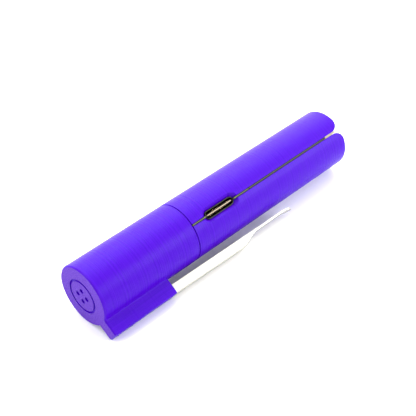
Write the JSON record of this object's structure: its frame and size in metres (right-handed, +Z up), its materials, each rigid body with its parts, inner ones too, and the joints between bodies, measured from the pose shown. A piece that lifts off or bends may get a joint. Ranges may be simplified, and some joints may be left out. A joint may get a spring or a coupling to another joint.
{
  "type": "fabric marking pen",
  "caption": "Capped fabric marking pen with a ribbed cap, sprung pocket clip, lengthwise circuit board slot, charging port and tail light.",
  "frame": {"origin": "centre of the cap's flat end, on the pen's axis", "axes": "+X along the pen from the cap's flat end to the tail, +Z up as the pen lies on a table on its barrel and rib"},
  "size_m": [0.0803, 0.0182, 0.015],
  "materials": {
    "purple_print": "printed, fine layer lines, satin",
    "soft_liner": "soft matte",
    "clip_steel": "bright satin",
    "ring_rubber": "matte",
    "nose_plastic": "smooth satin",
    "nib_fibre": "felted fibre",
    "filler_fibre": "bonded fibre",
    "screw_steel": "machined",
    "milky_lens": "milky, warm",
    "board_laminate": "glass-epoxy laminate",
    "port_steel": "stamped",
    "port_insert": "moulded",
    "contact_gold": "plated",
    "chip_black": "moulded epoxy",
    "coil_ferrite": "sintered",
    "small_ceramic": "ceramic",
    "light_package": "moulded",
    "cell_foil": "laminated foil",
    "pad_foam": "foam",
    "tab_nickel": "strip"
  },
  "bodies": {
    "barrel": {"barrel_back": "purple_print", "barrel_front": "purple_print", "shell_screws": "screw_steel", "collar": "purple_print", "grip_ring": "ring_rubber", "nose_cone": "nose_plastic", "nib": "nib_fibre", "ink_filler": "filler_fibre", "ink_stopper": "soft_liner", "tail_lens": "milky_lens", "circuit_board": "board_laminate", "port_shell": "port_steel", "port_insert": "port_insert", "port_contacts": "contact_gold", "charger_chip": "chip_black", "driver_chip": "chip_black", "power_coil": "coil_ferrite", "small_parts": "small_ceramic", "tail_light": "light_package", "battery_cell": "cell_foil", "cell_pad": "pad_foam", "cell_tabs": "tab_nickel", "switch_body": "chip_black"},
    "cap": {"cap_shell": "purple_print", "cap_liner": "soft_liner", "clip_tang": "clip_steel"},
    "clip": {"clip_arm": "clip_steel"},
    "button": {"power_button": "purple_print", "switch_actuator": "chip_black"}
  },
  "joints": [
    {"name": "cap_pull", "type": "slide", "parent": "barrel", "child": "cap", "axis": [-1, 0, 0], "range_m": [0, 0.032]},
    {"name": "clip_flex", "type": "hinge", "parent": "cap", "child": "clip", "pos_m": [0.0182, -0.0086, -0.00539], "axis": [0, 0.5314, -0.8471], "range_deg": [0, 2.5], "stiffness_Nm_per_rad": 0.2},
    {"name": "button_press", "type": "slide", "parent": "barrel", "child": "button", "axis": [0, -0.7431, -0.6691], "range_m": [0, 0.00025], "stiffness_N_per_m": 300}
  ]
}
